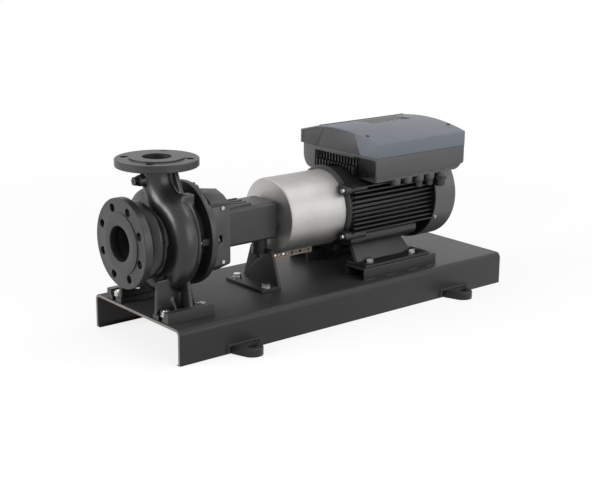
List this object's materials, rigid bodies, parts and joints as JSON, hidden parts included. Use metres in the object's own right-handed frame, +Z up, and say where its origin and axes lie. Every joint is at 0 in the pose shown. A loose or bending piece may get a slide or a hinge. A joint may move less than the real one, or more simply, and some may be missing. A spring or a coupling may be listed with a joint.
{
  "type": "end-suction centrifugal pump set on a base frame",
  "caption": "Single-stage volute pump with bearing bracket, guarded coupling and finned motor with a frequency converter on top, on a bent-plate base frame with anchor lugs.",
  "frame": {"origin": "on the floor under the middle of the whole set", "axes": "+X along the shaft from the suction flange to the motor fan, +Z up"},
  "size_m": [1.036, 0.45, 0.426],
  "materials": {
    "cast_paint": "sand-cast iron under satin dark grey paint",
    "impeller_iron": "as cast",
    "plain_steel": "turned",
    "dark_steel": "phosphated",
    "zinc_steel": "zinc plated",
    "frame_paint": "satin dark grey paint on steel plate",
    "cover_paint": "satin grey paint on sheet",
    "coupling_iron": "machined",
    "coupling_rubber": "moulded",
    "guard_steel": "brushed stainless sheet",
    "seam_steel": "primed perforated sheet",
    "motor_paint": "satin near-black paint on cast aluminium",
    "fan_plastic": "moulded",
    "fan_cover_paint": "satin grey paint on pressed sheet",
    "drive_paint": "satin dark grey powder coat on die casting",
    "heatsink_black": "black anodised fins",
    "lid_plastic": "moulded blue-grey cover",
    "panel_plastic": "moulded dark grey panel",
    "display_window": "dark bare window",
    "gland_plastic": "moulded black",
    "blank_plastic": "moulded dark grey"
  },
  "bodies": {
    "root": {"anchor_lug_front_left": "frame_paint", "anchor_lug_front_right": "frame_paint", "anchor_lug_rear_left": "frame_paint", "anchor_lug_rear_right": "frame_paint", "base_frame": "frame_paint", "bearing_bracket": "cast_paint", "bearing_cover": "cast_paint", "bearing_housing": "cast_paint", "cable_gland_1": "gland_plastic", "cable_gland_2": "gland_plastic", "cable_gland_3": "gland_plastic", "casing_cover": "cast_paint", "coupling_ring": "coupling_rubber", "drain_plug": "zinc_steel", "drive_display": "display_window", "drive_end_panel": "panel_plastic", "drive_heatsink": "heatsink_black", "drive_housing": "drive_paint", "drive_lid": "lid_plastic", "drive_top_strip": "panel_plastic", "entry_blank_1": "blank_plastic", "entry_blank_2": "blank_plastic", "fan": "fan_plastic", "fan_cover": "fan_cover_paint", "guard_front_disc": "guard_steel", "guard_seam_strip": "seam_steel", "guard_shell": "guard_steel", "impeller": "impeller_iron", "impeller_nut": "plain_steel", "lantern_cover_left": "cover_paint", "lantern_cover_right": "cover_paint", "motor_body": "motor_paint", "motor_coupling_hub": "coupling_iron", "motor_end_shield": "motor_paint", "motor_foot_left": "motor_paint", "motor_foot_right": "motor_paint", "motor_rear_shield": "motor_paint", "motor_shaft": "plain_steel", "neck_plug": "dark_steel", "pump_coupling_hub": "coupling_iron", "pump_shaft": "plain_steel", "rail_left": "frame_paint", "rail_right": "frame_paint", "support_foot": "frame_paint", "volute_casing": "cast_paint"}
  },
  "joints": []
}
